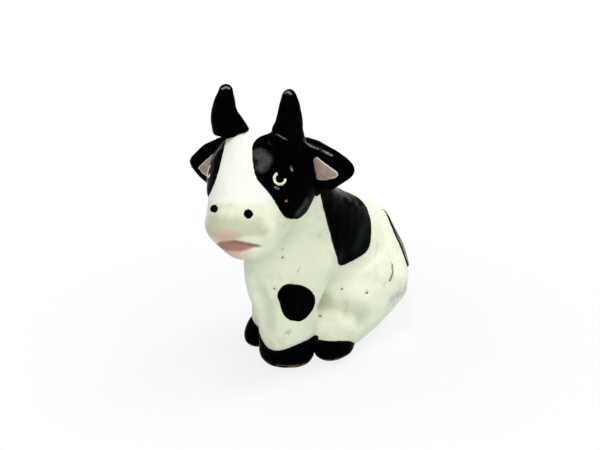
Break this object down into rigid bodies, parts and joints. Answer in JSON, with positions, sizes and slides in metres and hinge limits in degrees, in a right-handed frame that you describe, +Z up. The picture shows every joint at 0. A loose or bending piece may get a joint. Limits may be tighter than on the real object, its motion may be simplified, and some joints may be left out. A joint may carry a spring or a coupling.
{
  "type": "cow figurine",
  "caption": "Small seated cow ornament of fired clay, cream white with raised black enamel patches, black horns, ears and hooves, and pink lips and ear linings.",
  "frame": {"origin": "on the ground, in the middle of the torso's flat underside from side to side", "axes": "+Z up, -Y the way the cow faces, +X the cow's left"},
  "size_m": [0.0189, 0.0336, 0.0305],
  "materials": {
    "white_clay": "gloss",
    "black_clay": "gloss",
    "black_enamel": "gloss",
    "pink_paint": "satin",
    "cream_paint": "satin"
  },
  "bodies": {
    "root": {"torso": "white_clay", "forelegs": "white_clay", "left_haunch": "white_clay", "right_haunch": "white_clay", "tail": "white_clay", "head": "white_clay", "muzzle": "white_clay", "fore_hoof": "black_clay", "left_hind_hoof": "black_clay", "right_hind_hoof": "black_clay", "tail_tuft": "black_clay", "left_horn": "black_clay", "right_horn": "black_clay", "left_ear": "black_clay", "right_ear": "black_clay", "left_eye_patch": "black_enamel", "right_eye_patch": "black_enamel", "nostrils": "black_enamel", "chest_spot": "black_enamel", "shoulder_patch": "black_enamel", "rump_patch": "black_enamel", "flank_patch": "black_enamel", "lower_lip": "pink_paint", "left_ear_lining": "pink_paint", "right_ear_lining": "pink_paint", "left_eye_ring": "cream_paint", "right_eye_ring": "cream_paint"}
  },
  "joints": []
}
